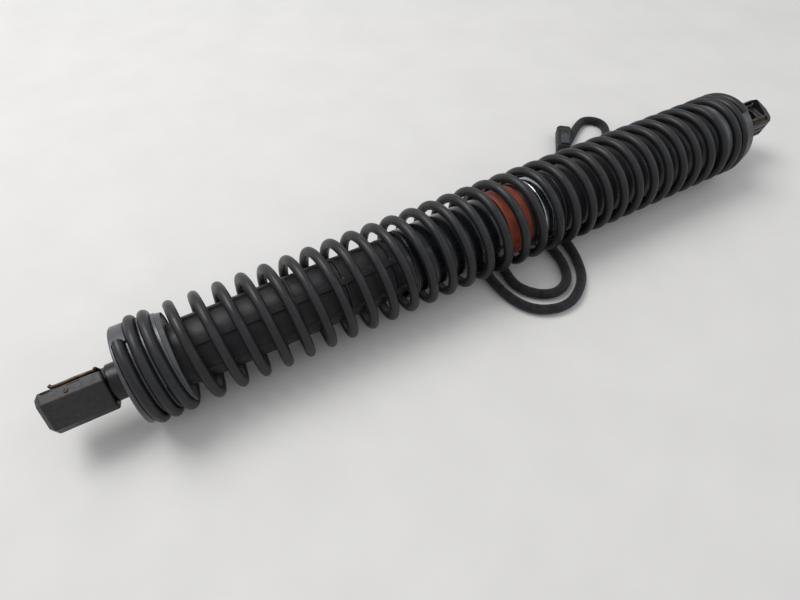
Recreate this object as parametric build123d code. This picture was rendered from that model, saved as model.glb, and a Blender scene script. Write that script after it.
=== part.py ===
from build123d import *
import math
import os

# Powered tailgate strut: a coil spring round a telescopic spindle drive.
# The strut lies along X on a flat surface, guide half at -X and motor half at +X.
# Origin: on the surface, under the middle of the strut. Millimetres, +Z up.

# Driving dimensions
SPRING_R = 24.0            # outer radius of the coil spring
WIRE_R = 2.3               # spring wire
PITCH = 10.73              # open coils
OPEN_TURNS = 28            # open coils between the closed ends
END_PITCH = 0.53           # closed coils, as a share of the open pitch
CLIMB = 1.06               # open pitches climbed by the turn that joins the two
END_TURNS = 3              # turns held by each spring seat
STROKE = 100.0             # travel from fully extended

AXIS_Z = SPRING_R          # the strut rests on its coils
COIL_R = SPRING_R - WIRE_R
HALF_OPEN = OPEN_TURNS * PITCH / 2
STATIC_GAP = 0.05          # between pieces that are pressed or glued together
RUN_GAP = 0.05             # shaft in its bearing

# Spring seats and end fittings, measured outwards from the strut's middle
SEAT_IN = HALF_OPEN + 0.5 * PITCH
SEAT_OUT = HALF_OPEN + 2.45 * PITCH
SEAT_WALL = 4.0
CORE_R, RIM_R, FLANGE_R = 19.2, 22.0, 20.8
RIM_THICK = 1.0
RIM_STEPS = 6              # the rim grows thicker round to the stop behind the wire's end
STOP_ANGLE = 83
FLANGE_STEPS = [(3.0, 50, 110), (1.9, 50, 150), (1.0, 50, 190)]  # thickness, from angle, to angle
NECK_R = 8.2
NECK_LENGTH = 7.6
STUB_R, STUB_LENGTH = 4.0, 5.0

# Ball socket housings
SOCKET_LENGTH = 26.0
SOCKET_HALF_W = 9.2
SOCKET_LOW, SOCKET_HIGH = 9.6, 9.4
SOCKET_CHAMFER = 3.4
BALL_R = 5.0
BORE_R = BALL_R + 0.05
BALL_FROM_TIP = 12.5
BORE_DEPTH = 4.2           # straight wall above the ball's centre
CUP_LIP_R, CUP_LIP_H = 7.0, 0.9
POCKET_HALF_X, POCKET_HALF_W = 9.5, 7.4
SIDE_GROOVES = [(0.8, 1.4), (-3.4, 2.2)]   # height and width, on the low side
GUIDE_MOUTH_ANGLE = -32.0  # mouth turned from +Z towards the back
MOTOR_MOUTH_ANGLE = 8.0
CLIP_WIRE_R = 0.8
CLIP_LEG_W = 6.3
CLIP_Z = BORE_DEPTH + CUP_LIP_H + 0.3 + CLIP_WIRE_R
CLIP_LIFT = 2.5

# Telescopic tubes
PUSH_R, PUSH_BORE = 14.4, 12.6
RIB_R, RIB_COUNT, RIB_WIDTH = 15.5, 6, 3.0
RIB_PHASE = 58.0
HOOP_R, HOOP_WIDTH, HOOP_STEP = 15.2, 1.2, 24.0
PUSH_END = -27.0
SLEEVE_R, SLEEVE_BORE = 16.7, 15.85
SLEEVE_START = -50.4
BRAKE_R, BRAKE_START, BRAKE_END = 17.5, 7.0, 20.9
SPIGOT_R, SPIGOT_END = 16.8, 40.0
SLEEVE_SOCKET = 5.0
COLLAR_END = 27.9
END_RING_START, END_RING_END = 28.4, 33.8
MOTOR_TUBE_R, MOTOR_TUBE_BORE = 17.8, 16.9
MOTOR_TUBE_END = 172.0

# Spindle drive
SPINDLE_R = 4.0
SPINDLE_START, SPINDLE_END = -50.0, 80.0
NUT_LENGTH = 18.0
LEAD = 20.0                # travel per turn of the spindle
FRONT_PLATE = (74.0, 79.0)
BEARING_R = 8.0
CARRIER = (80.0, 83.5)
GEARS = (84.5, 91.5)
SUN_R, PLANET_R, PLANET_COUNT = 2.85, 4.25, 3
MESH_GAP = 0.05
PLANET_ORBIT = SUN_R + PLANET_R + MESH_GAP
RING_BORE = PLANET_ORBIT + PLANET_R + MESH_GAP
PIN_R = 1.2
SHAFT_R = 1.6
CAN = (94.0, 146.0)
CAN_R, CAN_BORE = MOTOR_TUBE_BORE - STATIC_GAP, 15.0

# Cable and plug
CABLE_R = 2.6
FLOOR_Z = CABLE_R + 0.1
GROMMET_R = 4.0
GROMMET_END = 181.0
CABLE_EXIT = (GROMMET_END, 10.3, 13.7)
LEG_Y = 12.0               # half length of the straight crossing under the coils
LEG_SKEW = 1.05            # sideways drift of a coil gap over that length


def crossing(turn, towards):
    """The two route points that take the cable through the coil gap under open coil number turn."""
    x = turn * PITCH - HALF_OPEN
    back, front = (x + LEG_SKEW, LEG_Y, FLOOR_Z), (x - LEG_SKEW, -LEG_Y, FLOOR_Z)
    return [back, front] if towards == "front" else [front, back]


def on_floor(*points):
    return [(x, y, FLOOR_Z) for x, y in points]


CABLE_ROUTE = [
    CABLE_EXIT, (188, 10.3, 13.7), (197, 13.5, 11), (202, 22.5, 7), (199, 33, 3.8),
    *on_floor((188, 40), (172, 41.5), (148, 37), (121, 32), (96, 31), (74, 31.5), (61.5, 26)),
    *crossing(19, "front"),
    *on_floor((49.5, -27), (41, -42), (25, -52.5), (9, -48), (0.5, -34)),
    *crossing(14, "back"),
    *on_floor((2.6, 24), (12.5, 33), (27, 35), (39.5, 28)),
    *crossing(18, "front"),
    *on_floor((40.3, -25), (31, -34.5), (18, -34), (9.4, -24)),
    *crossing(15, "back"),
    (12.6, 20, 3.6), (13.6, 29, 8.4), (18, 38, 8.4), (30, 43, 3.6),
    *on_floor((48, 43.5), (70, 42), (92, 41.5), (112, 41.8), (128, 44), (141, 51), (146, 62.5),
              (137.5, 71), (127, 66.5), (120.9, 62.4)),
]
PLUG_CENTRE = (107.5, 57.0)
PLUG_TURN = 52.0
PLUG_LENGTH, PLUG_WIDTH, PLUG_HEIGHT = 24.0, 9.6, 9.0


def tube(x0, x1, outer, bore=0.0):
    """A round tube or rod along the strut's axis, from x0 to x1."""
    along = Pos(x0, 0, AXIS_Z) * Rot(0, 90, 0)
    low = (Align.CENTER, Align.CENTER, Align.MIN)
    body = along * Cylinder(outer, x1 - x0, align=low)
    return body - along * Cylinder(bore, x1 - x0, align=low) if bore else body


def turned(*points):
    """A turned piece: a closed outline of (x, radius) points, revolved about the strut's axis."""
    outline = make_face(Plane.XZ * Polyline(*points, close=True))
    return Pos(0, 0, AXIS_Z) * revolve(outline, Axis.X)


def coil_x(turn):
    """Place along the strut of the wire's centre after this many turns from the first open coil."""
    if turn >= 0:
        return turn * PITCH - HALF_OPEN
    s = turn + 1                        # from 0 to 1 a cubic joins the closed pitch to the open one
    if s < 0:
        return (-CLIMB + END_PITCH * s) * PITCH - HALF_OPEN
    climb = -CLIMB * (2 * s**3 - 3 * s**2 + 1) + END_PITCH * (s**3 - 2 * s**2 + s) + (s**3 - s**2)
    return climb * PITCH - HALF_OPEN


def coil_point(turn):
    angle = math.radians(90 + 360 * turn)
    return Vector(coil_x(turn), COIL_R * math.cos(angle), AXIS_Z + COIL_R * math.sin(angle))


def coil_tangent(turn, step=1e-4):
    return (coil_point(turn + step) - coil_point(turn - step)).normalized()


def end_path():
    """The wire's centre line over the guide half's closed end."""
    count = END_TURNS * 12
    return Spline(*[coil_point(END_TURNS * (k / count - 1)) for k in range(count + 1)])


def coil_spring():
    """One wire: closed turns, open turns, and closed turns again, which are the first ones turned round."""
    open_path = Pos(-HALF_OPEN, 0, AXIS_Z) * Rot(0, 90, 0) * Rot(0, 0, 180) * Helix(
        PITCH, OPEN_TURNS * PITCH, COIL_R)
    path = Wire([end_path(), open_path, Rot(0, 0, 180) * end_path()])
    section = Plane(origin=coil_point(-END_TURNS), z_dir=coil_tangent(-END_TURNS)) * Circle(WIRE_R)
    return sweep(section, path=path, is_frenet=True)


def sector(x0, x1, outer, start, stop):
    """Part of a ring on the seat's core, from one angle to another, counted from +Y towards +Z."""
    outline = make_face(Plane.XY * Polyline(
        (x0, CORE_R - 1), (x1, CORE_R - 1), (x1, outer), (x0, outer), close=True))
    return Pos(0, 0, AXIS_Z) * Rot(start, 0, 0) * revolve(outline, Axis.X, revolution_arc=stop - start)


def spring_seat(bore):
    """The guide half's spring carrier: a core inside the closed coils, a rim with a stop for the
    wire's end, and an inner flange that ends where the wire climbs to the open pitch."""
    body = turned(*[(-x, r) for x, r in [
        (SEAT_IN, bore), (SEAT_IN, CORE_R), (SEAT_OUT - RIM_THICK, CORE_R), (SEAT_OUT - RIM_THICK, RIM_R),
        (SEAT_OUT - 0.3, RIM_R), (SEAT_OUT, RIM_R - 0.6), (SEAT_OUT, NECK_R + STATIC_GAP),
        (SEAT_OUT - SEAT_WALL, NECK_R + STATIC_GAP), (SEAT_OUT - SEAT_WALL, bore)]])
    for k in range(1, RIM_STEPS):
        thick = RIM_THICK + END_PITCH * PITCH * k / RIM_STEPS
        start = 90 + 360 * k / RIM_STEPS
        stop = min(start + 360 / RIM_STEPS, 360 + STOP_ANGLE)
        body += sector(-SEAT_OUT + RIM_THICK / 2, -SEAT_OUT + thick, RIM_R - 0.1, start, stop)
    for k, (thick, start, stop) in enumerate(FLANGE_STEPS):
        body += sector(-SEAT_IN - thick, -SEAT_IN, FLANGE_R - 0.1 * k, start + 2 * k, stop)
    return body


def neck(side, inner_r):
    """End fitting: a stub for the socket, the visible neck and a flange behind the seat's wall."""
    face = SEAT_OUT + NECK_LENGTH
    inside = SEAT_OUT - SEAT_WALL - STATIC_GAP
    return turned(*[(side * x, r) for x, r in [
        (face + STUB_LENGTH, 0), (face + STUB_LENGTH, STUB_R), (face, STUB_R), (face, NECK_R - 0.6),
        (face - 0.6, NECK_R), (inside, NECK_R), (inside, inner_r), (inside - 4, inner_r),
        (inside - 4, 0)]])


def at_socket(side, mouth_angle):
    """Frame of a ball socket: origin at the ball's centre, +X to the tip, +Z out of the mouth."""
    ball_x = SEAT_OUT + NECK_LENGTH + SOCKET_LENGTH - BALL_FROM_TIP
    turn_round = Rot(0, 0, 180) if side < 0 else Rot(0, 0, 0)
    return Pos(side * ball_x, 0, AXIS_Z) * Rot(mouth_angle, 0, 0) * turn_round


def ball_socket(side, mouth_angle):
    """Chamfered housing with a cup for the ball, a high wall on one side and a low one on the other."""
    tip, root = BALL_FROM_TIP, BALL_FROM_TIP - SOCKET_LENGTH
    w, c = SOCKET_HALF_W, SOCKET_CHAMFER
    section = make_face(Polyline(
        (-w + c, SOCKET_HIGH), (w - c, SOCKET_HIGH), (w, SOCKET_HIGH - c), (w, -SOCKET_LOW + c),
        (w - c, -SOCKET_LOW), (-w + c, -SOCKET_LOW), (-w, -SOCKET_LOW + c), (-w, SOCKET_HIGH - c),
        close=True))
    body = extrude(Plane(origin=(root, 0, 0), x_dir=(0, 1, 0), z_dir=(1, 0, 0)) * section, SOCKET_LENGTH)
    body = chamfer(body.faces().sort_by(Axis.X)[-1].edges(), 2.2)
    body -= Pos(0, (POCKET_HALF_W - w - 1) / 2, BORE_DEPTH + 10) * Box(
        2 * POCKET_HALF_X, POCKET_HALF_W + w + 1, 20)
    body += Pos(0, 0, BORE_DEPTH) * Cylinder(
        CUP_LIP_R, CUP_LIP_H, align=(Align.CENTER, Align.CENTER, Align.MIN))
    body -= Cylinder(BORE_R, 20, align=(Align.CENTER, Align.CENTER, Align.MIN)) + Sphere(BORE_R)
    for height, width in SIDE_GROOVES:
        body -= Pos(0, -w, height) * Box(SOCKET_LENGTH - 8, 1.2, width)
    body -= Pos(root, 0, 0) * Rot(0, 90, 0) * Cylinder(
        STUB_R + STATIC_GAP, 2 * STUB_LENGTH + 0.4)
    slot_w = 2 * (CLIP_LEG_W + CLIP_WIRE_R) + 0.8
    body -= Pos(-POCKET_HALF_X - 2, 0, CLIP_Z - CLIP_WIRE_R + 4.7) * Box(6, slot_w, 10)
    return at_socket(side, mouth_angle) * body


def socket_clip(side, mouth_angle):
    """Spring clip: a wire bow over the neck end with a leg along each side of the cup."""
    back = -POCKET_HALF_X - 1.6
    start = (7.6, -CLIP_LEG_W, CLIP_Z)
    path = FilletPolyline(start, (back, -CLIP_LEG_W, CLIP_Z), (back, CLIP_LEG_W, CLIP_Z),
                          (7.6, CLIP_LEG_W, CLIP_Z), radius=2.4)
    wire = sweep(Plane(origin=start, z_dir=(-1, 0, 0)) * Circle(CLIP_WIRE_R), path=path)
    return at_socket(side, mouth_angle) * wire


def push_tube():
    start = -(SEAT_OUT - SEAT_WALL - STATIC_GAP)
    body = tube(start, PUSH_END, PUSH_R, PUSH_BORE)
    first = -SEAT_IN + 4.0
    for k in range(RIB_COUNT):
        rib = Pos((first + PUSH_END) / 2, 0, (PUSH_R + RIB_R) / 2 - 0.2) * Box(
            PUSH_END - first, RIB_WIDTH, RIB_R - PUSH_R + 0.4)
        body += Pos(0, 0, AXIS_Z) * Rot(RIB_PHASE - 90 + 360 * k / RIB_COUNT, 0, 0) * rib
    x = first
    while x < PUSH_END - HOOP_STEP:
        body += tube(x, x + HOOP_WIDTH, HOOP_R, PUSH_BORE)
        x += HOOP_STEP
    return body


def arc_shell(x0, x1, outer, bore, half_angle):
    """Two opposite segments of a tube, each spanning twice half_angle."""
    shell = tube(x0, x1, outer, bore)
    reach = 2 * outer
    wedge = Pos((x0 + x1) / 2, 0, AXIS_Z) * extrude(
        Plane.YZ * make_face(Polyline(
            (0, 0), (reach, reach * math.tan(math.radians(half_angle))),
            (reach, -reach * math.tan(math.radians(half_angle))), close=True)), x1 - x0, both=True)
    mirrored = Rot(0, 0, 180) * Pos(-(x0 + x1), 0, 0) * wedge
    return Compound(children=[*(shell & wedge).solids(), *(shell & mirrored).solids()])


def armature():
    body = tube(102, 136, 11.8, SHAFT_R + STATIC_GAP)
    for k in range(8):
        slot = Pos(119, 0, 10.5) * Box(40, 1.6, 5)
        body -= Pos(0, 0, AXIS_Z) * Rot(45 * k, 0, 0) * slot
    return body


def planet_carrier():
    body = tube(CARRIER[0], CARRIER[1], 10.4)
    for k in range(PLANET_COUNT):
        body += planet_place(k) * Pos(CARRIER[1] - 0.5, 0, 0) * Rot(0, 90, 0) * Cylinder(
            PIN_R, GEARS[1] + 1.5 - CARRIER[1], align=(Align.CENTER, Align.CENTER, Align.MIN))
    return body


def planet_place(k):
    angle = math.radians(90 + 360 * k / PLANET_COUNT)
    return Pos(0, PLANET_ORBIT * math.cos(angle), AXIS_Z + PLANET_ORBIT * math.sin(angle))


def planet_gear(k):
    body = Rot(0, 90, 0) * (
        Cylinder(PLANET_R, GEARS[1] - GEARS[0], align=(Align.CENTER, Align.CENTER, Align.MIN))
        - Cylinder(PIN_R + RUN_GAP, GEARS[1] - GEARS[0], align=(Align.CENTER, Align.CENTER, Align.MIN)))
    return planet_place(k) * Pos(GEARS[0], 0, 0) * body


def holed_disc(x0, x1, outer, bore, hole_r, orbit, count):
    body = tube(x0, x1, outer, bore)
    for k in range(count):
        angle = math.radians(360 * (k + 0.5) / count)
        body -= Pos((x0 + x1) / 2, orbit * math.cos(angle), AXIS_Z + orbit * math.sin(angle)) * Rot(
            0, 90, 0) * Cylinder(hole_r, x1 - x0 + 1)
    return body


def cable():
    """The free cable: straight runs joined by arcs as large as the runs allow."""
    points = [Vector(*p) for p in CABLE_ROUTE]
    runs = [b - a for a, b in zip(points, points[1:])]
    radii = []
    for before, after in zip(runs, runs[1:]):
        half_turn = math.radians(before.get_angle(after)) / 2
        radii.append(0.45 * min(before.length, after.length) / math.tan(half_turn))
    path = FilletPolyline(*points, radius=radii)
    body = sweep(Plane(origin=points[0], z_dir=runs[0]) * Circle(CABLE_R), path=path)
    ideal = math.pi * CABLE_R**2 * path.length
    print(f"cable length {path.length:.1f} mm, tightest radius {min(radii):.1f} mm, "
          f"volume {body.volume / ideal:.4f} of section times length")
    return body


def at_plug():
    return Pos(*PLUG_CENTRE, 0) * Rot(0, 0, PLUG_TURN)


def plug_body():
    body = Pos(0, 0, PLUG_HEIGHT / 2) * Box(PLUG_LENGTH, PLUG_WIDTH, PLUG_HEIGHT)
    body = chamfer(body.edges(), 1.2)
    return at_plug() * body


def plug_boot():
    """Cable boot: from the plug's side out to the cable's end."""
    end, before = Vector(*CABLE_ROUTE[-1]), Vector(*CABLE_ROUTE[-2])
    out = (end - before).normalized()
    low = (Align.CENTER, Align.CENTER, Align.MIN)
    boot = Plane(origin=end, z_dir=out) * Cylinder(CABLE_R + 0.05, 12, align=low)
    return boot - plug_body()


def plug_latch():
    plate = Pos(-5.0, 0, PLUG_HEIGHT + 0.7) * Box(9, 5, 1.4)
    return at_plug() * chamfer(plate.faces().sort_by(Axis.Z)[-1].edges(), 0.5)


def grommet():
    """Rubber boot through the motor seat's wall, with the cable's bore closed off inside."""
    low = (Align.CENTER, Align.CENTER, Align.MIN)
    place = Pos(SEAT_OUT - SEAT_WALL, CABLE_EXIT[1], CABLE_EXIT[2]) * Rot(0, 90, 0)
    length = GROMMET_END - (SEAT_OUT - SEAT_WALL)
    body = place * Cylinder(GROMMET_R - STATIC_GAP, length, align=low)
    return chamfer(body.faces().sort_by(Axis.X)[-1].edges(), 0.9)


def cable_hole():
    low = (Align.CENTER, Align.CENTER, Align.MIN)
    place = Pos(SEAT_OUT - SEAT_WALL - 5, CABLE_EXIT[1], CABLE_EXIT[2]) * Rot(0, 90, 0)
    return place * Cylinder(GROMMET_R, SEAT_WALL + 6, align=low)


def motor_seat():
    return Rot(0, 0, 180) * spring_seat(MOTOR_TUBE_R + STATIC_GAP) - cable_hole()


def motor_neck():
    return neck(1, MOTOR_TUBE_BORE - STATIC_GAP) - cable_hole()


def brake_ring():
    """Connector ring: holds the sleeve at one end and plugs into the motor tube at the other."""
    return turned(
        (BRAKE_START, SLEEVE_R + STATIC_GAP), (BRAKE_START, BRAKE_R - 0.5), (BRAKE_START + 0.5, BRAKE_R),
        (BRAKE_END, BRAKE_R), (BRAKE_END, SPIGOT_R), (SPIGOT_END, SPIGOT_R), (SPIGOT_END, SLEEVE_BORE),
        (BRAKE_START + SLEEVE_SOCKET, SLEEVE_BORE), (BRAKE_START + SLEEVE_SOCKET, SLEEVE_R + STATIC_GAP))


def spindle():
    body = tube(SPINDLE_START, SPINDLE_END, SPINDLE_R)
    return body - tube(SPINDLE_START, SPINDLE_START + 3, SPINDLE_R, SPINDLE_R - 1)


def parts():
    x_can, x_back = CAN
    pieces = {
        "coil_spring": coil_spring(),
        "guide_ball_socket": ball_socket(-1, GUIDE_MOUTH_ANGLE),
        "guide_socket_clip": socket_clip(-1, GUIDE_MOUTH_ANGLE),
        "guide_neck": neck(-1, PUSH_BORE - STATIC_GAP),
        "guide_spring_seat": spring_seat(PUSH_R + STATIC_GAP),
        "push_tube": push_tube(),
        "spindle_nut": tube(PUSH_END - NUT_LENGTH, PUSH_END, PUSH_BORE - STATIC_GAP, SPINDLE_R + RUN_GAP),
        "spindle": spindle(),
        "spindle_guide": tube(
            SPINDLE_START, SPINDLE_START + 3, PUSH_BORE - 0.3, SPINDLE_R - 1 + STATIC_GAP),
        "planet_carrier": planet_carrier(),
        "guide_sleeve": tube(SLEEVE_START, BRAKE_START + SLEEVE_SOCKET, SLEEVE_R, SLEEVE_BORE),
        "brake_ring": brake_ring(),
        "lock_collar": turned(
            (BRAKE_END, SPIGOT_R + STATIC_GAP), (BRAKE_END, BRAKE_R - 0.2),
            (BRAKE_END + 0.8, MOTOR_TUBE_R), (COLLAR_END, MOTOR_TUBE_R), (COLLAR_END, SPIGOT_R + STATIC_GAP)),
        "collar_seal": tube(COLLAR_END, END_RING_START, MOTOR_TUBE_R - 0.4, SPIGOT_R + STATIC_GAP),
        "steel_end_ring": turned(
            (END_RING_START, MOTOR_TUBE_BORE), (END_RING_START, MOTOR_TUBE_R - 0.3),
            (END_RING_START + 0.5, MOTOR_TUBE_R + 0.2), (END_RING_END, MOTOR_TUBE_R + 0.2),
            (END_RING_END, MOTOR_TUBE_BORE)),
        "motor_tube": tube(END_RING_END, MOTOR_TUBE_END, MOTOR_TUBE_R, MOTOR_TUBE_BORE),
        "gearbox_housing": turned(
            (FRONT_PLATE[0], BEARING_R + STATIC_GAP), (FRONT_PLATE[0], MOTOR_TUBE_BORE - STATIC_GAP),
            (x_can - 0.1, MOTOR_TUBE_BORE - STATIC_GAP), (x_can - 0.1, 14.2),
            (FRONT_PLATE[1], 14.2), (FRONT_PLATE[1], BEARING_R + STATIC_GAP)),
        "spindle_bearing": tube(FRONT_PLATE[0], FRONT_PLATE[1], BEARING_R, SPINDLE_R + RUN_GAP),
        "ring_gear": tube(GEARS[0] - 0.5, GEARS[1] + 0.5, 14.2 - STATIC_GAP, RING_BORE),
        "sun_gear": tube(GEARS[0], GEARS[1], SUN_R, SHAFT_R + 0.02),
        "armature_shaft": tube(GEARS[0] - 0.3, 150, SHAFT_R),
        "motor_can": turned(
            (x_can, 3.3), (x_can, CAN_R), (x_back, CAN_R), (x_back, CAN_BORE), (x_can + 2, CAN_BORE),
            (x_can + 2, 3.3)),
        "front_bushing": tube(x_can - 0.6, x_can + 2.6, 3.25, SHAFT_R + RUN_GAP),
        "field_magnets": arc_shell(100, 140, CAN_BORE - STATIC_GAP, 12.2, 62),
        "armature": armature(),
        "commutator": tube(138, 144, 4.6, SHAFT_R + STATIC_GAP),
        "brush_plate": holed_disc(x_back, x_back + 3, CAN_R, SHAFT_R + RUN_GAP, 1.8, 10, 2),
        "sensor_board": holed_disc(151, 152.6, 13, 3, 1.5, 9, 3),
        "rubber_damper": tube(156, SEAT_OUT - SEAT_WALL - 4.2, 16.8, 10),
        "motor_neck": motor_neck(),
        "motor_spring_seat": motor_seat(),
        "motor_ball_socket": ball_socket(1, MOTOR_MOUTH_ANGLE),
        "motor_socket_clip": socket_clip(1, MOTOR_MOUTH_ANGLE),
        "cable_grommet": grommet(),
        "cable": cable(),
        "plug_body": plug_body(),
        "plug_boot": plug_boot(),
        "plug_latch": plug_latch(),
    }
    for k in range(PLANET_COUNT):
        pieces[f"planet_gear_{k + 1}"] = planet_gear(k)
    return pieces


os.makedirs("parts", exist_ok=True)
for name, shape in parts().items():
    export_step(shape, f"parts/{name}.step")
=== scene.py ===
import math
import bmesh
import bpy
from mathutils import Matrix, Vector


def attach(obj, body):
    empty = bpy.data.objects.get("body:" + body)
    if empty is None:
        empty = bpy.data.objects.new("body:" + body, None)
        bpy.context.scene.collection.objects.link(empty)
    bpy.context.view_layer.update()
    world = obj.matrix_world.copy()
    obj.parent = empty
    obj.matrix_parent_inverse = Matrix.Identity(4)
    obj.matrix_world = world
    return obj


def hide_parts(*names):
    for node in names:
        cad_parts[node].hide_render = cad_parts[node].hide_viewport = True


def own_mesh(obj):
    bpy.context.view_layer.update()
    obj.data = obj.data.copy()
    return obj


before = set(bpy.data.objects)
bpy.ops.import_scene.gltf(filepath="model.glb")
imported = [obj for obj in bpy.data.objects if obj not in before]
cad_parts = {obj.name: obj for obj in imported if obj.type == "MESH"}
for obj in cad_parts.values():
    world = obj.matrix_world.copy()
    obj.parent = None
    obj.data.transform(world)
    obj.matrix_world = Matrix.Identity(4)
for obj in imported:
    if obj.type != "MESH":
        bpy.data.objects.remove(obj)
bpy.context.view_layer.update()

# Powered tailgate strut, lying along X with its motor half towards +X. Lengths are in millimetres in
# the code and in metres in the scene. END_PITCH and CLIMB are in pitches of the open coils.
MM = 0.001
AXIS_Z = 24.0
WIRE_R, COIL_R = 2.3, 21.7
PITCH, OPEN_TURNS, END_PITCH, CLIMB, END_TURNS = 10.73, 28, 0.53, 1.06, 3
HALF_OPEN = OPEN_TURNS * PITCH / 2
SEAT_IN, SEAT_OUT = HALF_OPEN + 0.5 * PITCH, HALF_OPEN + 2.45 * PITCH
NECK_R, NECK_LENGTH = 8.2, 7.6
PUSH_R, PUSH_BORE_R, PUSH_END, HOOP_PITCH = 14.4, 12.7, -27.0, 24
SLEEVE_R, MOTOR_TUBE_R = 16.7, 17.8
SOCKET_LENGTH, SOCKET_TIP, SOCKET_HALF_W = 26.0, 12.5, 9.2
BALL_X = SEAT_OUT + NECK_LENGTH + SOCKET_LENGTH - SOCKET_TIP
GUIDE_MOUTH, MOTOR_MOUTH = math.radians(-32), math.radians(8)
CABLE_R = 2.6
# Pale grey that up-facing faces lean towards: partly dust, partly painted light on the tops.
TOP_LIGHT_AND_DUST_COLOUR = (0.20, 0.195, 0.19)
ON_AXIS = 0.05                            # radius that stands for nought in a turned body
HALF_TURN = Matrix.Rotation(math.pi, 4, "Z")


# ---------------------------------------------------------------- mesh helpers
def placed(name, data):
    """A new object in the scene that holds the data."""
    obj = bpy.data.objects.new(name, data)
    bpy.context.collection.objects.link(obj)
    return obj


def piece(name, bm, body, materials, replaces=(), sharp=32, transform=None):
    """Turns a bmesh, in millimetres, into a smooth-shaded piece that rides on a body."""
    if transform is not None:
        bmesh.ops.transform(bm, matrix=transform, verts=bm.verts)
    bmesh.ops.scale(bm, vec=(MM, MM, MM), verts=bm.verts)
    bmesh.ops.recalc_face_normals(bm, faces=bm.faces)
    for edge in bm.edges:
        edge.smooth = len(edge.link_faces) == 2 and edge.calc_face_angle(0) < math.radians(sharp)
    for face in bm.faces:
        face.smooth = True
    mesh = bpy.data.meshes.new(name)
    bm.to_mesh(mesh)
    bm.free()
    obj = placed(name, mesh)
    for m in materials:
        mesh.materials.append(m)
    if replaces:
        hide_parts(*replaces)
    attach(obj, body)
    return obj


def rings_to_mesh(rings, closed=False, caps=True):
    """Joins rings of points, each a closed loop, into a skin: closed round on itself, or with caps."""
    bm = bmesh.new()
    loops = [[bm.verts.new(p) for p in ring] for ring in rings]
    pairs = list(zip(loops, loops[1:])) + ([(loops[-1], loops[0])] if closed else [])
    for low, high in pairs:
        for k in range(len(low)):
            n = (k + 1) % len(low)
            bm.faces.new((low[k], low[n], high[n], high[k]))
    if caps and not closed:
        bm.faces.new(loops[0])
        bm.faces.new(reversed(loops[-1]))
    return bm


def rounded(profile):
    """A closed outline of (x, r, corner radius) points with its corners rounded."""
    out = []
    count, steps = len(profile), 4
    for i, (*p, r) in enumerate(profile):
        p = Vector(p)
        a, b = Vector(profile[i - 1][:2]), Vector(profile[(i + 1) % count][:2])
        da, db = a - p, b - p
        if r <= 0 or da.length < 1e-6 or db.length < 1e-6:
            out.append(p)
            continue
        half = da.angle(db) / 2
        cut = min(r / math.tan(half) if half > 1e-3 else 0, 0.48 * da.length, 0.48 * db.length)
        if half > math.radians(88) or cut < 1e-4:
            out.append(p)
            continue
        start, end = p + da.normalized() * cut, p + db.normalized() * cut
        for k in range(steps + 1):
            t = k / steps
            out.append((1 - t) ** 2 * start + 2 * t * (1 - t) * p + t * t * end)
    return out


def turned(profile, segments=128):
    """A ring-shaped solid: the rounded outline turned about the strut's axis."""
    outline = rounded(profile)
    rings = []
    for k in range(segments):
        c, s = math.cos(2 * math.pi * k / segments), math.sin(2 * math.pi * k / segments)
        rings.append([Vector((p.x, p.y * c, AXIS_Z + p.y * s)) for p in outline])
    return rings_to_mesh(rings, closed=True)


def sweep(points, radius, sides):
    """A round bar along a line of points, with the frame carried along without twist."""
    tangents = []
    for i in range(len(points)):
        tangents.append((points[min(i + 1, len(points) - 1)] - points[max(i - 1, 0)]).normalized())
    normal = tangents[0].orthogonal().normalized()
    rings = []
    for p, t in zip(points, tangents):
        normal = (normal - t * normal.dot(t)).normalized()
        side = t.cross(normal)
        rings.append([p + radius * (math.cos(a) * normal + math.sin(a) * side)
                      for a in (2 * math.pi * k / sides for k in range(sides))])
    return rings_to_mesh(rings)


def smooth_line(points, per_run):
    """A Catmull-Rom line through the points."""
    pts = [Vector(p) for p in points]
    pts = [2 * pts[0] - pts[1]] + pts + [2 * pts[-1] - pts[-2]]
    out = []
    for a, b, c, d in zip(pts, pts[1:], pts[2:], pts[3:]):
        for k in range(per_run):
            t = k / per_run
            out.append(0.5 * (2 * b + (c - a) * t + (2 * a - 5 * b + 4 * c - d) * t * t
                              + (3 * b - a - 3 * c + d) * t ** 3))
    return out + [pts[-2]]


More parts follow.
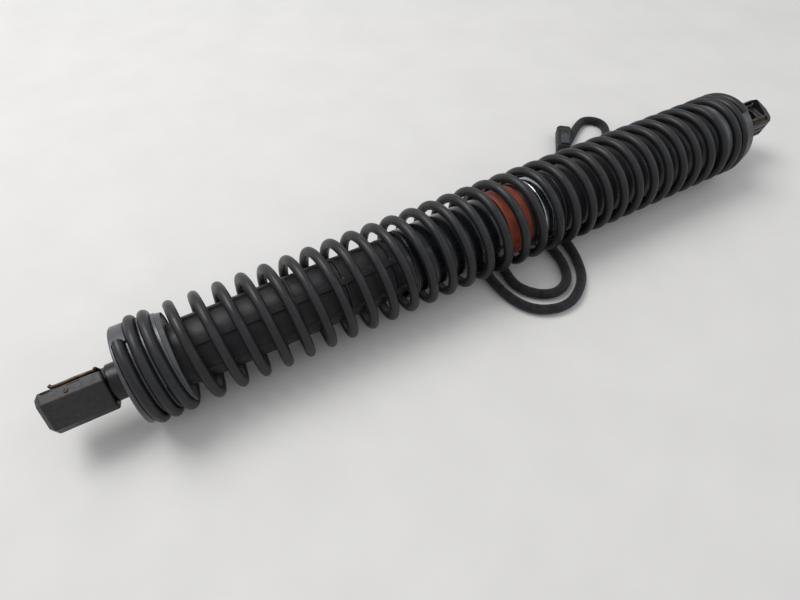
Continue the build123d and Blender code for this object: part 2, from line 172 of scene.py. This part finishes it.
# ---------------------------------------------------------------- materials
def material(name, colour, rough, metallic=0.0, vary=0.15, patch=60.0, grain=900.0, bump=0.02,
             rough_vary=0.08, coat=0.0, sheen=0.0, dust_and_top_light=0.0, specular=0.5, second=None):
    """A surface with colour patches, uneven gloss, fine grain, and a lighter tone where it faces up that is
    partly dust and partly painted top light. Patch and grain are noise scales per metre; bump is the grain's
    height in millimetres."""
    m = bpy.data.materials.new(name)
    m.use_nodes = True
    nodes, links = m.node_tree.nodes, m.node_tree.links
    shader = nodes["Principled BSDF"]
    shader.inputs["Metallic"].default_value = metallic
    shader.inputs["Specular IOR Level"].default_value = specular
    shader.inputs["Coat Weight"].default_value = coat
    shader.inputs["Coat Roughness"].default_value = 0.12
    shader.inputs["Sheen Weight"].default_value = sheen
    shader.inputs["Sheen Roughness"].default_value = 0.6
    coords = nodes.new("ShaderNodeTexCoord")

    def noise(scale, detail, rough=0.55):
        n = nodes.new("ShaderNodeTexNoise")
        n.inputs["Scale"].default_value = scale
        n.inputs["Detail"].default_value = detail
        n.inputs["Roughness"].default_value = rough
        links.new(coords.outputs["Object"], n.inputs["Vector"])
        return n

    def span(source, low, high, out_low, out_high):
        n = nodes.new("ShaderNodeMapRange")
        links.new(source, n.inputs["Value"])
        for key, v in (("From Min", low), ("From Max", high), ("To Min", out_low), ("To Max", out_high)):
            n.inputs[key].default_value = v
        return n.outputs["Result"]

    def mix(factor, a, b):
        n = nodes.new("ShaderNodeMix")
        n.data_type = "RGBA"
        links.new(factor, n.inputs["Factor"])
        for value, socket in ((a, n.inputs["A"]), (b, n.inputs["B"])):
            if isinstance(value, tuple):
                socket.default_value = (*value, 1)
            else:
                links.new(value, socket)
        return n.outputs["Result"]

    low = tuple(c * (1 - vary) for c in colour)
    high = second or tuple(min(1, c * (1 + vary)) for c in colour)
    base = mix(span(noise(patch, 5).outputs["Fac"], 0.35, 0.65, 0, 1), low, high)
    # Up-facing faces are mixed towards a pale grey in noisy spots: partly dust, partly painted top light.
    if dust_and_top_light:
        facing = nodes.new("ShaderNodeNewGeometry")
        split = nodes.new("ShaderNodeSeparateXYZ")
        links.new(facing.outputs["Normal"], split.inputs["Vector"])
        up = span(split.outputs["Z"], 0.2, 1.0, 0, dust_and_top_light)
        spots = nodes.new("ShaderNodeMath")
        spots.operation = "MULTIPLY"
        links.new(up, spots.inputs[0])
        links.new(span(noise(patch * 5, 6, 0.7).outputs["Fac"], 0.35, 0.7, 0.2, 1), spots.inputs[1])
        base = mix(spots.outputs["Value"], base, TOP_LIGHT_AND_DUST_COLOUR)
    links.new(base, shader.inputs["Base Color"])
    links.new(span(noise(patch * 2.3, 4).outputs["Fac"], 0.3, 0.7, rough - rough_vary, rough + rough_vary),
              shader.inputs["Roughness"])
    relief = nodes.new("ShaderNodeBump")
    relief.inputs["Strength"].default_value = 0.6
    relief.inputs["Distance"].default_value = bump * MM
    links.new(noise(grain, 4, 0.6).outputs["Fac"], relief.inputs["Height"])
    links.new(relief.outputs["Normal"], shader.inputs["Normal"])
    return m


SPRING = material("spring_coat", (0.0105, 0.011, 0.0125), 0.40, vary=0.25, patch=45, grain=1400, bump=0.02,
                  dust_and_top_light=0.10, specular=0.34)
BARE_STEEL = material("bare_wire_end", (0.30, 0.27, 0.23), 0.42, metallic=0.8, patch=300, grain=2500)
SEAT = material("seat_coat", (0.072, 0.076, 0.082), 0.36, metallic=0.3, vary=0.22, patch=120, grain=1800,
                bump=0.015, dust_and_top_light=0.12, specular=0.45)
# The high dust value here mostly paints light on the housing's up-facing top and chamfer, with a little dust.
SOCKET = material("socket_plastic", (0.011, 0.0115, 0.013), 0.40, vary=0.25, patch=140, grain=1500, bump=0.03,
                  dust_and_top_light=0.26, specular=0.35)
NECK = material("neck_gloss", (0.006, 0.006, 0.008), 0.36, vary=0.2, patch=100, grain=900, bump=0.01,
                coat=0.05, specular=0.35)
CLIP = material("clip_wire", (0.045, 0.040, 0.036), 0.48, metallic=0.8, vary=0.45, patch=320, grain=2500,
                bump=0.03, second=(0.15, 0.095, 0.055))
PUSH = material("push_tube_plastic", (0.006, 0.0065, 0.008), 0.44, vary=0.3, patch=90, grain=2200, bump=0.03,
                dust_and_top_light=0.10, specular=0.30)
SLEEVE = material("sleeve_gloss", (0.005, 0.0055, 0.007), 0.24, vary=0.2, patch=70, grain=1000, bump=0.01,
                  coat=0.25, specular=0.35)
ORANGE = material("ring_orange", (0.21, 0.038, 0.016), 0.50, vary=0.3, patch=160, grain=1800, bump=0.03,
                  specular=0.35, dust_and_top_light=0.08)
COLLAR = material("collar_black", (0.007, 0.007, 0.008), 0.34, patch=100, grain=1600, bump=0.02,
                  specular=0.35)
SEAL = material("seal_rubber", (0.012, 0.012, 0.012), 0.7, patch=150, grain=2500, bump=0.04, specular=0.3)
CHROME = material("bright_ring", (0.50, 0.53, 0.57), 0.20, metallic=1.0, vary=0.08, patch=200, grain=2600,
                  bump=0.004, rough_vary=0.05)
TUBE = material("motor_tube_paint", (0.009, 0.0095, 0.011), 0.36, vary=0.25, patch=70, grain=1600, bump=0.015,
                dust_and_top_light=0.05, specular=0.32)
LOOM = material("loom_fleece", (0.012, 0.012, 0.0135), 0.90, vary=0.55, patch=350, grain=3200, bump=0.45,
                rough_vary=0.06, sheen=0.12, specular=0.15)
PLUG = material("plug_fleece", (0.014, 0.0125, 0.0135), 0.92, vary=0.6, patch=420, grain=2600, bump=0.6,
                rough_vary=0.05, sheen=0.15, specular=0.15)
LATCH = material("latch_plastic", (0.030, 0.036, 0.045), 0.42, vary=0.15, patch=250, grain=2000, bump=0.03)
RUBBER = material("grommet_rubber", (0.012, 0.012, 0.013), 0.62, patch=200, grain=2200, bump=0.05,
                  specular=0.3)
INNER_PLASTIC = material("inner_plastic", (0.55, 0.52, 0.44), 0.5, patch=120)
INNER_STEEL = material("inner_steel", (0.50, 0.50, 0.51), 0.32, metallic=1.0, patch=120, grain=2000)
COPPER = material("inner_copper", (0.60, 0.30, 0.16), 0.35, metallic=1.0, patch=160)
MAGNET = material("inner_magnet", (0.06, 0.06, 0.065), 0.55, patch=120)
BOARD = material("inner_board", (0.02, 0.14, 0.06), 0.45, patch=150)

# ---------------------------------------------------------------- camera
cam_data = bpy.data.cameras.new("camera")
cam_data.lens, cam_data.sensor_width = 24.26, 36
cam_data.clip_start, cam_data.clip_end = 0.01, 20
camera = placed("camera", cam_data)
camera.location = (-0.13117, -0.15214, 0.22506)
camera.rotation_euler = (0.64628, -0.00352, -0.50216)
bpy.context.scene.camera = camera

# ---------------------------------------------------------------- cable
LEG_Y, LEG_SKEW, FLOOR_Z = 12.0, 1.05, 2.7


def crossing(turn, towards):
    """The straight leg that passes under the spring, in the gap below the axis at this turn of it."""
    x = turn * PITCH - HALF_OPEN
    back, front = (x + LEG_SKEW, LEG_Y, FLOOR_Z), (x - LEG_SKEW, -LEG_Y, FLOOR_Z)
    return [back, front] if towards == "front" else [front, back]


def on_floor(*points):
    """Points at the height of a cable that lies on the floor."""
    return [(x, y, FLOOR_Z) for x, y in points]


ROUTE = [
    (181.0, 10.3, 13.7), (188, 10.3, 13.7), (197, 13.5, 11), (202, 22.5, 7), (199, 33, 3.8),
    *on_floor((188, 40), (172, 41.5), (148, 37), (121, 32), (96, 31), (74, 31.5), (61.5, 26)),
    *crossing(19, "front"),
    *on_floor((49.5, -27), (42, -41), (26, -50.5), (9, -46), (0.5, -33)),
    *crossing(14, "back"),
    *on_floor((2.6, 24), (12.5, 33), (27, 35), (39.5, 28)),
    *crossing(18, "front"),
    *on_floor((41, -26), (34, -38.5), (20, -41), (7.5, -28.5)),
    *crossing(15, "back"),
    (12.6, 20, 3.6), (13.6, 29, 8.4), (18, 38, 8.4), (30, 43, 3.6),
    *on_floor((48, 43.5), (70, 42), (92, 41.5), (112, 41.8), (128, 44), (141, 51), (146, 62.5),
              (137.5, 71), (127, 66.5), (120.9, 62.4)),
]
curve = bpy.data.curves.new("cable", "CURVE")
curve.dimensions = "3D"
curve.resolution_u = 8
curve.bevel_depth = CABLE_R * MM
curve.bevel_resolution = 5
curve.use_fill_caps = True
spline = curve.splines.new("NURBS")
spline.points.add(len(ROUTE) - 1)
for point, (x, y, z) in zip(spline.points, ROUTE):
    point.co = (x * MM, y * MM, z * MM, 1)
spline.order_u = 3
spline.use_endpoint_u = True
cable = placed("cable_loom", curve)
curve.materials.append(LOOM)
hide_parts("cable")
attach(cable, "motor_half")


# ---------------------------------------------------------------- spring
def coil_x(turn):
    """Where the wire stands along X: evenly up the open coils, a smooth climb before them, then close."""
    if turn >= 0:
        return turn * PITCH - HALF_OPEN
    s = turn + 1
    if s < 0:
        return (-CLIMB + END_PITCH * s) * PITCH - HALF_OPEN
    climb = -CLIMB * (2 * s**3 - 3 * s**2 + 1) + END_PITCH * (s**3 - 2 * s**2 + s) + (s**3 - s**2)
    return climb * PITCH - HALF_OPEN


def coil_point(turn):
    """The wire's centre; the motor end is the guide end turned by half about the vertical."""
    if turn > OPEN_TURNS:
        p = coil_point(OPEN_TURNS - turn)
        return Vector((-p.x, -p.y, p.z))
    angle = math.radians(90 + 360 * turn)
    return Vector((coil_x(turn), COIL_R * math.cos(angle), AXIS_Z + COIL_R * math.sin(angle)))


def coil_rings(start, stop):
    """(centre, direction, ring of points) along the wire."""
    sides, per_turn = 20, 56
    count = max(2, round((stop - start) * per_turn))
    rings = []
    for k in range(count + 1):
        u = start + (stop - start) * k / count
        p = coil_point(u)
        t = (coil_point(u + 1e-4) - coil_point(u - 1e-4)).normalized()
        out = Vector((0, p.y, p.z - AXIS_Z)).normalized()
        out = (out - t * out.dot(t)).normalized()
        side = t.cross(out)
        rings.append((p, t, [p + WIRE_R * (math.cos(a) * out + math.sin(a) * side)
                             for a in (2 * math.pi * i / sides for i in range(sides))]))
    return rings


def wire_piece(name, start, stop, body, blunt=None):
    """A length of the spring's wire; blunt is the end, 0 or -1, where the real wire is cut off."""
    rings = coil_rings(start, stop)
    loops = [ring for _, _, ring in rings]
    if blunt is not None:
        p, t, ring = rings[blunt]
        sign = -1 if blunt == 0 else 1
        tip = [[q + sign * 0.35 * t for q in ring],
               [q + sign * 0.60 * t + (p - q) * 0.12 for q in ring]]
        loops = tip[::-1] + loops if blunt == 0 else loops + tip
    bm = rings_to_mesh(loops)
    obj = piece(name, bm, body, [SPRING, BARE_STEEL], sharp=40)
    if blunt is not None:
        for poly in obj.data.polygons:
            end_cap = len(poly.vertices) > 4
            if end_cap and (poly.center - rings[blunt][0] * MM).length < 0.003:
                poly.material_index = 1
    return obj


GUIDE_END, MOTOR_END = -0.003, -0.065     # turns from each end's three whole ones; negative is outwards
open_coils = wire_piece("spring_open_coils", 0, OPEN_TURNS, "motor_half")
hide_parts("coil_spring")
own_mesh(open_coils)
guide_coils = wire_piece("spring_guide_coils", -END_TURNS + GUIDE_END, 0, "guide_half", blunt=0)
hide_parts("coil_spring")
motor_coils = wire_piece("spring_motor_coils", OPEN_TURNS, OPEN_TURNS + END_TURNS - MOTOR_END,
                         "motor_half", blunt=-1)
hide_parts("coil_spring")


# ---------------------------------------------------------------- spring seats
def seat_mesh(bore, first):
    """A spring carrier in the guide half's place. The wire runs in a groove between thin lips; the
    rim grows thicker round to the stop at the wire's end, first turns from the top."""
    core, rim, lip, shoulder, gap = 19.25, 22.0, 21.0, 20.55, WIRE_R + 0.12
    low, high = -SEAT_OUT, -SEAT_IN

    def band(left, right):
        """The lip between two turns of wire; a wide one steps down to a sloping shoulder."""
        right = min(right, high)
        left = min(left, right)
        wide = right - left
        grow = min(1.0, wide / 0.7)
        top = core + (lip - core) * grow
        fall = core + (shoulder - core) * grow
        bevel = min(0.22, wide * 0.25)
        extra = max(0.0, wide - 0.9)
        knee = left + bevel * 2 + extra * 0.30
        if wide < 1.2:
            r1, r2, r3, r4 = top, top, top, top - bevel
        else:
            r1, r2, r3, r4 = top - 0.02, fall + 0.1, fall - 0.35, fall - 0.75
        return [(left, core), (left + bevel * 0.2, top - bevel), (left + bevel, top),
                (min(knee, right - bevel), r1), (min(knee + 0.25 * min(1, extra), right - bevel * 0.8), r2),
                (right - bevel * 0.7, r3), (right, r4), (right, core)]

    rings = []
    count = 160
    for k in range(count + 1):
        f = first + k / count
        w0, w1, w2 = (coil_x(turn + f) for turn in (-3, -2, -1))
        thick = w0 - gap - low
        edge = min(0.7, 0.45 * thick)
        profile = [(low, NECK_R + 0.15), (low, 13.0), (low, rim - 2.4), (low, rim - 1.0),
                   (low + 0.3 * edge, rim - 0.35), (low + edge, rim),
                   (low + thick - min(0.35, 0.2 * thick), rim), (low + thick, rim - 0.35),
                   (low + thick, core)]
        profile += band(w0 + gap, w1 - gap) + band(w1 + gap, w2 - gap) + band(w2 + gap, high)
        profile += [(high, core), (high, bore), (low + 4, bore), (low + 4, NECK_R + 0.15)]
        angle = math.radians(90 + 360 * f)
        c, s = math.cos(angle), math.sin(angle)
        rings.append([Vector((x, r * c, AXIS_Z + r * s)) for x, r in profile])
    bm = rings_to_mesh(rings, caps=False)
    bmesh.ops.remove_doubles(bm, verts=bm.verts, dist=0.004)
    bmesh.ops.holes_fill(bm, edges=[e for e in bm.edges if e.is_boundary], sides=0)
    bmesh.ops.dissolve_degenerate(bm, dist=0.002, edges=bm.edges)
    return bm


piece("guide_spring_carrier", seat_mesh(PUSH_R + 0.1, GUIDE_END), "guide_half", [SEAT],
      ["guide_spring_seat"], sharp=28)
piece("motor_spring_carrier", seat_mesh(MOTOR_TUBE_R + 0.1, MOTOR_END), "motor_half", [SEAT],
      ["motor_spring_seat"], sharp=28, transform=HALF_TURN)

# ---------------------------------------------------------------- necks, tubes and rings
for side, body, name in ((-1, "guide_half", "guide"), (1, "motor_half", "motor")):
    face = SEAT_OUT + NECK_LENGTH
    profile = [(side * x, r, e) for x, r, e in [
        (SEAT_OUT - 4.1, 5.0, 0), (SEAT_OUT - 4.1, NECK_R, 0), (SEAT_OUT + 0.3, NECK_R, 0.1),
        (SEAT_OUT + 0.5, NECK_R - 0.25, 0.1), (SEAT_OUT + 1.1, NECK_R - 0.25, 0.1),
        (SEAT_OUT + 1.3, NECK_R, 0.2), (face, NECK_R, 0.9), (face, 4.0, 0), (face + 5.0, 4.0, 0.3),
        (face + 5.0, 1.0, 0), (face, 1.0, 0)]]
    piece(name + "_neck_sleeve", turned(profile, 96), body, [NECK], [name + "_neck"])

sleeve = [(-50.4, 15.85, 0.1), (-50.4, 16.3, 0.2), (-49.9, SLEEVE_R, 0.4), (-46.5, SLEEVE_R, 0.2),
          (-46.2, SLEEVE_R - 0.25, 0.2), (-45.4, SLEEVE_R - 0.25, 0.2), (-45.1, SLEEVE_R, 0.2),
          (6.9, SLEEVE_R, 0.1), (6.9, 15.85, 0.1)]
piece("guide_sleeve_shell", turned(sleeve), "motor_half", [SLEEVE],
      ["guide_sleeve"])
orange = [(7.0, 16.0, 0), (7.0, 17.1, 0.2), (7.5, 17.5, 0.3), (12.6, 17.5, 0.2), (12.9, 17.3, 0.2),
          (13.5, 17.3, 0.2), (13.8, 17.5, 0.2), (20.5, 17.5, 0.3), (20.9, 17.2, 0.2), (20.9, 16.0, 0)]
piece("brake_ring_shell", turned(orange), "motor_half", [ORANGE], ["brake_ring"])
collar = [(20.95, 16.85, 0), (20.95, 17.1, 0.2), (21.7, 17.8, 0.4), (24.2, 17.8, 0.2), (24.45, 17.6, 0.2),
          (24.9, 17.6, 0.2), (25.15, 17.8, 0.2), (27.5, 17.8, 0.3), (27.9, 17.5, 0.2), (27.9, 16.85, 0)]
piece("lock_collar_shell", turned(collar), "motor_half", [COLLAR], ["lock_collar"])
chrome = [(28.4, 16.9, 0), (28.4, 17.6, 0.2), (28.8, 18.0, 0.4), (33.4, 18.0, 0.4), (33.8, 17.7, 0.2),
          (33.8, 16.9, 0)]
piece("steel_end_ring_shell", turned(chrome, 144), "motor_half", [CHROME],
      ["steel_end_ring"])
housing = [(33.85, 16.9, 0), (33.85, 17.6, 0.2), (34.3, 17.8, 0.3), (40.0, 17.8, 0.3), (40.4, 17.55, 0.3),
           (41.6, 17.55, 0.3), (42.0, 17.8, 0.3), (153.0, 17.8, 0.3), (153.4, 17.5, 0.3), (154.4, 17.5, 0.3),
           (154.8, 17.8, 0.3), (172.0, 17.8, 0.1), (172.0, 16.9, 0)]
piece("motor_tube_shell", turned(housing), "motor_half", [TUBE], ["motor_tube"])


# ---------------------------------------------------------------- push tube with ribs and hoops
def push_tube_mesh():
    """Ribbed tube: six ribs along it, hoops between them, and shallow panels with soft corners."""
    start, stop = -(SEAT_OUT - 4.0), PUSH_END
    first = -SEAT_IN + 4.0
    hoops = []
    x = first
    while x < stop - HOOP_PITCH:
        hoops.append(x + 0.6)
        x += HOOP_PITCH
    xs = [start, first - 0.01]
    x = first
    while x < stop:
        xs.append(x)
        x += 0.8
    for h in hoops:
        xs += [h - 0.85, h - 0.6, h - 0.45, h + 0.45, h + 0.6, h + 0.85]
    xs = sorted(set(round(v, 3) for v in xs if start <= v < stop)) + [stop - 0.5, stop]
    rings = []
    segments = 216
    ribs = [math.radians(58 + 60 * k) for k in range(6)]
    for x in xs:
        ring = []
        in_hoop = max((1 - max(0, abs(x - h) - 0.5) / 0.3 for h in hoops), default=0)
        in_hoop = max(0.0, min(1.0, in_hoop))
        for k in range(segments):
            a = 2 * math.pi * k / segments
            off = min(abs((a - r + math.pi) % (2 * math.pi) - math.pi) for r in ribs) * PUSH_R
            rib = max(0.0, min(1.0, (1.75 - off) / 0.3))
            r = PUSH_R + 0.8 * in_hoop
            r = max(r, PUSH_R + 1.1 * rib - 0.03 * off * rib) if x >= first else PUSH_R
            if x > stop - 0.6:
                r -= 0.4 * (x - stop + 0.6) / 0.6
            ring.append(Vector((x, r * math.cos(a), AXIS_Z + r * math.sin(a))))
        rings.append(ring)
    inner = [[Vector((x, PUSH_BORE_R * math.cos(a), AXIS_Z + PUSH_BORE_R * math.sin(a)))
              for a in (2 * math.pi * k / segments for k in range(segments))] for x in (stop, start)]
    return rings_to_mesh(rings + inner, closed=True)


piece("push_tube_shell", push_tube_mesh(), "guide_half", [PUSH], ["push_tube"], sharp=35)


# ---------------------------------------------------------------- ball sockets
def socket_frame(side, angle):
    """A socket's own frame: the ball's centre at nought, the tip towards +X and the mouth towards +Z."""
    turn = HALF_TURN if side < 0 else Matrix.Identity(4)
    return Matrix.Translation((side * BALL_X, 0, AXIS_Z)) @ Matrix.Rotation(angle, 4, "X") @ turn


def clip_mesh():
    """The retaining clip: two legs over the cup's rim, small hooks at the tip, and an eyelet at the neck."""
    z, w, wire_r = 6.2, 5.2, 0.8
    eye = [(-11.1 + 0.2 * math.sin(a), 2.0 * math.cos(a), z + 1.6 - 1.6 * math.sin(a + math.pi / 2))
           for a in (2 * math.pi * k / 16 for k in range(-2, 19))]
    line = [(8.6, -w - 0.5, z + 1.1), (7.8, -w, z + 0.3), (5.5, -w, z), (-1, -w - 0.1, z + 0.15),
            (-8, -w, z), (-10.4, -w + 0.9, z), (-11.1, -w + 2.2, z)]
    far = [(x, -y, h) for x, y, h in reversed(line)]
    line += [(x, -y, h) for x, y, h in eye]
    return sweep(smooth_line(line + far, 6), wire_r, 14)


def rounded_edges(bm, offset, segments):
    bmesh.ops.bevel(bm, geom=bm.edges[:], offset=offset, segments=segments, profile=0.5, affect="EDGES",
                    clamp_overlap=True)


def loft(stations):
    """A bar of chamfered section along X with rounded edges. A station is (x, half width, height,
    depth, chamfer)."""
    rings = []
    for x, w, high, low, c in stations:
        rings.append([Vector((x, y, z)) for y, z in (
            (-w + c, high), (w - c, high), (w, high - c), (w, -low + c), (w - c, -low), (-w + c, -low),
            (-w, -low + c), (-w, high - c))])
    bm = rings_to_mesh(rings)
    bmesh.ops.recalc_face_normals(bm, faces=bm.faces)
    rounded_edges(bm, 0.4, 3)
    return bm


def block(low, high, bevel=0.0):
    """A box between two corners."""
    bm = bmesh.new()
    bmesh.ops.create_cube(bm, size=1)
    size = Vector(high) - Vector(low)
    bmesh.ops.scale(bm, vec=size, verts=bm.verts)
    bmesh.ops.translate(bm, vec=(Vector(high) + Vector(low)) / 2, verts=bm.verts)
    if bevel:
        rounded_edges(bm, bevel, 4)
    return bm


def lathe(profile, segments=72):
    """A turned body about Z from (radius, height) points."""
    angles = [2 * math.pi * k / segments for k in range(segments)]
    return rings_to_mesh([[Vector((r * math.cos(a), r * math.sin(a), z)) for a in angles]
                          for r, z in profile])


def carve(base, steps):
    """Adds or cuts bodies in turn and gives the result as one mesh."""
    def temporary(bm):
        bmesh.ops.recalc_face_normals(bm, faces=bm.faces)
        mesh = bpy.data.meshes.new("temporary")
        bm.to_mesh(mesh)
        bm.free()
        return placed("temporary", mesh)

    body = temporary(base)
    tools = []
    for operation, bm in steps:
        tools.append(temporary(bm))
        mod = body.modifiers.new("step", "BOOLEAN")
        mod.operation, mod.solver, mod.object = operation, "EXACT", tools[-1]
    made = bpy.data.meshes.new_from_object(body.evaluated_get(bpy.context.evaluated_depsgraph_get()))
    bm = bmesh.new()
    bm.from_mesh(made)
    for obj in [body, *tools]:
        mesh = obj.data
        bpy.data.objects.remove(obj)
        bpy.data.meshes.remove(mesh)
    bpy.data.meshes.remove(made)
    bmesh.ops.remove_doubles(bm, verts=bm.verts, dist=0.002)
    bmesh.ops.dissolve_degenerate(bm, dist=0.001, edges=bm.edges)
    return bm


def slanted_block():
    """The room above a plane that falls from the high wall's top to the low side."""
    slope = Matrix.Translation((0, 4.6, 9.3)) @ Matrix.Rotation(math.radians(19), 4, "X")
    bm = block((-20, -24, 0), (20, 8, 12))
    bmesh.ops.transform(bm, matrix=slope, verts=bm.verts)
    return bm


def socket_mesh(inner):
    """The housing in its own frame. Its pocket is open on the low side, -Y, and ends at the high wall's
    inner face; the cup stands in the pocket."""
    root, tip, w = SOCKET_TIP - SOCKET_LENGTH, SOCKET_TIP, SOCKET_HALF_W
    floor_z, above, ball_r, mouth_r = 4.2, 20, 5.05, 5.35
    body = loft([(root, w - 0.5, 8.9, 9.1, 3.2), (root + 0.7, w, 9.4, 9.6, 3.4),
                 (tip - 2.2, w, 9.4, 9.6, 3.4), (tip, w - 2.2, 7.2, 7.4, 2.1)])
    cup = [(ON_AXIS, 3.0), (7.0, 3.0), (7.0, 4.6), (6.85, 4.95), (6.5, 5.1), (ON_AXIS, 5.1)]
    ball = [(max(ON_AXIS, ball_r * math.cos(a)), ball_r * math.sin(a)) for a in
            (math.radians(-90 + 7.5 * k) for k in range(12))]
    ball += [(ball_r, 0), (ball_r, 4.75), (mouth_r, 5.12), (mouth_r, above), (ON_AXIS, above)]
    pocket = block((-9.5, -w - 3, floor_z), (9.5, inner, above), 1.0)
    narrow_groove = block((-9, -w - 0.6, 0.1), (9, -w + 0.6, 1.5), 0.2)
    wide_groove = block((-9, -w - 0.6, -4.5), (9, -w + 0.6, -2.3), 0.2)
    clip_slot = block((-15, -7.5, 5.1), (-9.0, inner - 0.3, 15.1), 0.3)
    neck_hole = block((root - 1, -4.2, -4.2), (root + 5.2, 4.2, 4.2), 1.4)
    return carve(body, [("DIFFERENCE", pocket), ("UNION", lathe(cup)), ("DIFFERENCE", lathe(ball)),
                        ("DIFFERENCE", narrow_groove), ("DIFFERENCE", wide_groove),
                        ("DIFFERENCE", clip_slot), ("DIFFERENCE", slanted_block()),
                        ("DIFFERENCE", neck_hole)])


PIN = [(ON_AXIS, -0.6), (0.95, -0.6), (0.95, 0.15), (0.75, 0.32), (0.45, 0.32), (0.35, 0.1), (ON_AXIS, 0.1)]
PIN_PLACE = Matrix.Translation((0.3, 7.75, 7.65)) @ Matrix.Rotation(math.radians(-45), 4, "X")
for side, angle, name, inner in ((-1, GUIDE_MOUTH, "guide", 6.3), (1, MOTOR_MOUTH, "motor", 7.2)):
    place = socket_frame(side, angle)
    piece(name + "_clip_wire", clip_mesh(), name + "_clip", [CLIP], [name + "_socket_clip"],
          transform=place)
    socket = piece(name + "_socket_housing", socket_mesh(inner), name + "_half", [SOCKET],
                   [name + "_ball_socket"], sharp=30, transform=place)
    socket.modifiers.new("normals", "WEIGHTED_NORMAL").keep_sharp = True
    piece(name + "_socket_pin", lathe(PIN, 28), name + "_half", [CLIP],
          transform=place @ PIN_PLACE)


# ---------------------------------------------------------------- plug
def taped_block():
    """The plug in its fleece tape: a soft-cornered block along X with turns of tape round it."""
    half_length, half_width, half_height, middle, corner = 12, 4.6, 4.3, 4.5, 4.5
    stations, segments, tape_width = 40, 48, 4.0
    rings = []
    for k in range(stations + 1):
        x = -half_length + 2 * half_length * k / stations
        end = max(0.0, abs(x) - 10.2) / 1.8
        shrink = 1 - 0.34 * end**2
        wrap = 0.16 * (1 - abs(((x + half_length) / tape_width) % 1 * 2 - 1))
        ring = []
        for i in range(segments):
            a = 2 * math.pi * i / segments
            c, s = math.cos(a), math.sin(a)
            r = (abs(c / half_width) ** corner + abs(s / half_height) ** corner) ** (-1 / corner) * shrink
            r += wrap - 0.12 + 0.10 * math.sin(5 * a + 1.7 * x) * math.sin(1.3 * x + 2 * a)
            ring.append(Vector((x, r * c, middle + r * s)))
        rings.append(ring)
    return rings_to_mesh(rings)


PLUG_PLACE = Matrix.Translation((107.5, 57, 0)) @ Matrix.Rotation(math.radians(52), 4, "Z")
BUTTON = [(ON_AXIS, 8.4), (1.3, 8.4), (1.3, 9.6), (1.1, 9.85), (0.5, 10.0), (ON_AXIS, 10.0)]
plug = piece("plug_taped_body", taped_block(), "motor_half", [PLUG], ["plug_body"],
             transform=PLUG_PLACE)
button = piece("plug_button", lathe(BUTTON, 32), "motor_half", [LATCH], transform=PLUG_PLACE)

# ---------------------------------------------------------------- materials of the CAD nodes
NODE_MATERIALS = {
    "spindle_nut": INNER_PLASTIC, "spindle": INNER_STEEL, "spindle_guide": INNER_PLASTIC,
    "planet_carrier": INNER_STEEL, "collar_seal": SEAL, "gearbox_housing": INNER_PLASTIC,
    "spindle_bearing": INNER_STEEL, "ring_gear": INNER_PLASTIC, "sun_gear": INNER_STEEL,
    "armature_shaft": INNER_STEEL, "motor_can": INNER_STEEL, "front_bushing": COPPER, "field_magnets": MAGNET,
    "armature": INNER_STEEL, "commutator": COPPER, "brush_plate": INNER_PLASTIC, "sensor_board": BOARD,
    "rubber_damper": RUBBER, "cable_grommet": RUBBER, "plug_boot": LOOM,
    "plug_latch": LATCH, "planet_gear_1": INNER_PLASTIC, "planet_gear_2": INNER_PLASTIC,
    "planet_gear_3": INNER_PLASTIC,
}
for node, mat in NODE_MATERIALS.items():
    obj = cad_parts[node]
    if obj.material_slots:
        for held in obj.material_slots:
            held.material = mat
    else:
        obj.data.materials.append(mat)

# ---------------------------------------------------------------- floor and lights
bm = bmesh.new()
bmesh.ops.create_grid(bm, x_segments=8, y_segments=8, size=9)
floor_mesh = bpy.data.meshes.new("floor")
bm.to_mesh(floor_mesh)
bm.free()
floor = placed("floor", floor_mesh)
floor_mesh.materials.append(material("floor_pale", (0.665, 0.655, 0.64), 0.7, vary=0.02, patch=25, grain=300,
                                     bump=0.03))

world = bpy.data.worlds.new("world")
bpy.context.scene.world = world
world.use_nodes = True
world.node_tree.nodes["Background"].inputs["Color"].default_value = (0.97, 0.98, 1.0, 1)
world.node_tree.nodes["Background"].inputs["Strength"].default_value = 0.62


def area_light(name, location, size, power, colour=(1, 1, 1)):
    """A square light that shines at the strut's middle."""
    data = bpy.data.lights.new(name, "AREA")
    data.shape, data.size, data.energy, data.color = "SQUARE", size, power, colour
    light = placed(name, data)
    light.location = location
    light.rotation_euler = (-Vector(location)).to_track_quat("-Z", "Y").to_euler()


area_light("key", (-0.35, 0.50, 0.95), 0.6, 7.5)
area_light("fill", (0.7, -0.5, 0.8), 0.8, 1.2, (0.95, 0.97, 1.0))
bpy.context.scene.view_settings.view_transform = "Standard"
